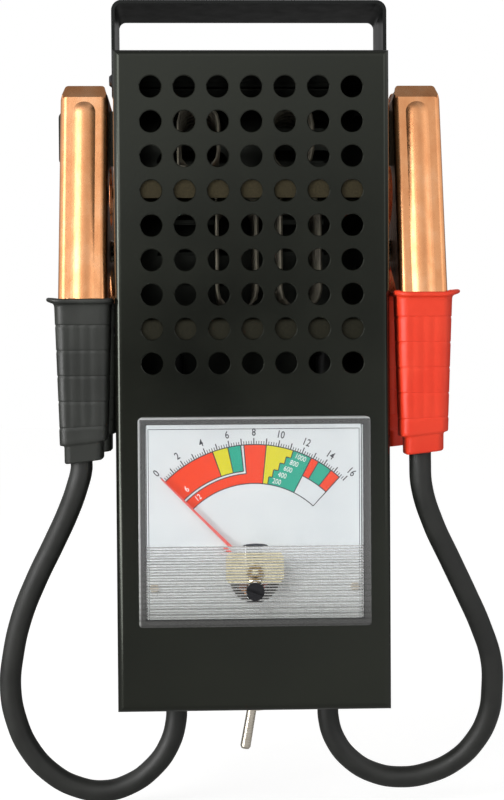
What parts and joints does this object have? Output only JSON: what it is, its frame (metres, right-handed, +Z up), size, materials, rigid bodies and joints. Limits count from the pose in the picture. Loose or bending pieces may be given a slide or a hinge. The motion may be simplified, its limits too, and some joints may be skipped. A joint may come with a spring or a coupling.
{
  "type": "battery load tester",
  "caption": "Hand-held battery load tester: perforated steel case with strap handle, square panel meter, resistance coils, toggle switch, two leads and copper clamps parked on side rests.",
  "frame": {"origin": "middle of the underside of the handle's grip, where the tester hangs", "axes": "+Z up along the case, +X to the right as the dial is read, the dial faces -Y"},
  "size_m": [0.2208, 0.0952, 0.3502],
  "materials": {
    "black_paint": "semi-matte black stoving paint on folded sheet steel",
    "black_steel": "blackened steel",
    "fibre_board": "moulded mineral-filled insulating board, matt",
    "ceramic": "unglazed ceramic",
    "resistance_wire": "oxidised resistance alloy wire",
    "copper": "bright copper plate with a soft sheen",
    "nickel": "nickel plate",
    "brass": "plain turned brass",
    "dark_plastic": "black moulded thermoset",
    "cream_plastic": "cream moulded bridge",
    "clear_plastic": "clear moulded styrene",
    "dial_paint": "white printed dial",
    "pointer_red": "red lacquered aluminium",
    "magnet_steel": "ground magnet steel",
    "spring_steel": "oil-tempered spring wire",
    "black_rubber": "soft black rubber jacket",
    "black_vinyl": "soft black dip-moulded vinyl",
    "red_vinyl": "soft red dip-moulded vinyl"
  },
  "bodies": {
    "case": {"front_shell": "black_paint", "back_cover": "black_paint", "cover_screws": "black_steel", "carry_handle": "black_paint", "handle_rivets": "black_steel", "clamp_rest_left": "black_paint", "clamp_rest_right": "black_paint", "rest_rivets": "black_steel", "upper_bracket": "fibre_board", "lower_bracket": "fibre_board", "bracket_screws": "black_steel", "ceramic_rails": "ceramic", "ceramic_bushes": "ceramic", "coil_upper_left": "resistance_wire", "coil_upper_right": "resistance_wire", "coil_lower_left": "resistance_wire", "coil_lower_right": "resistance_wire", "bus_links": "copper", "switch_body": "nickel", "switch_nuts": "nickel", "switch_terminals": "brass", "meter_base": "dark_plastic", "meter_lens": "clear_plastic", "dial_plate": "dial_paint", "dial_screws": "nickel", "meter_magnet": "magnet_steel", "meter_core": "magnet_steel", "jewel_bridge": "cream_plastic", "hairsprings": "brass", "meter_nuts": "nickel", "inner_lead_left": "black_rubber", "inner_lead_right": "black_rubber", "lead_grommets": "black_rubber", "lead_left": "black_rubber", "lead_right": "black_rubber", "jaw_front_left": "copper", "jaw_pin_left": "nickel", "jaw_spring_left": "spring_steel", "boot_front_left": "black_vinyl", "lead_end_left": "black_rubber", "jaw_front_right": "copper", "jaw_pin_right": "nickel", "jaw_spring_right": "spring_steel", "boot_front_right": "red_vinyl", "lead_end_right": "black_rubber"},
    "toggle": {"toggle_lever": "nickel"},
    "pointer": {"meter_pointer": "pointer_red", "moving_coil": "copper"},
    "adjuster": {"zero_screw": "dark_plastic"},
    "adjuster_arm": {"zero_arm": "brass"},
    "clamp_left": {"jaw_rear_left": "copper", "spring_arm_left": "spring_steel", "boot_rear_left": "black_vinyl"},
    "clamp_right": {"jaw_rear_right": "copper", "spring_arm_right": "spring_steel", "boot_rear_right": "red_vinyl"}
  },
  "joints": [
    {"name": "toggle_tilt", "type": "hinge", "parent": "case", "child": "toggle", "pos_m": [0.0015, 0, -0.2987], "axis": [0, -1, 0], "range_deg": [0, 20], "stiffness_Nm_per_rad": 0.2, "springref_deg": -28.65},
    {"name": "pointer_turn", "type": "hinge", "parent": "case", "child": "pointer", "pos_m": [0, -0.0449, -0.2404], "axis": [0, 1, 0], "range_deg": [0, 90], "stiffness_Nm_per_rad": 0.0005, "springref_deg": -17.19},
    {"name": "adjuster_turn", "type": "hinge", "parent": "case", "child": "adjuster", "pos_m": [0, -0.052, -0.2483], "axis": [0, 1, 0], "range_deg": [-30, 30]},
    {"name": "arm_turn", "type": "hinge", "parent": "case", "child": "adjuster_arm", "pos_m": [0, -0.0488, -0.2404], "axis": [0, 1, 0], "range_deg": [-5.6, 5.6]},
    {"name": "clamp_open_left", "type": "hinge", "parent": "case", "child": "clamp_left", "pos_m": [-0.0712, 0, -0.1047], "axis": [-1, 0, 0], "range_deg": [0, 25], "stiffness_Nm_per_rad": 1.5, "springref_deg": -28.65},
    {"name": "clamp_open_right", "type": "hinge", "parent": "case", "child": "clamp_right", "pos_m": [0.0725, 0, -0.1047], "axis": [-1, 0, 0], "range_deg": [0, 25], "stiffness_Nm_per_rad": 1.5, "springref_deg": -28.65}
  ],
  "couplings": [
    {"joint": "arm_turn", "follows": "adjuster_turn", "ratio": -0.18}
  ]
}
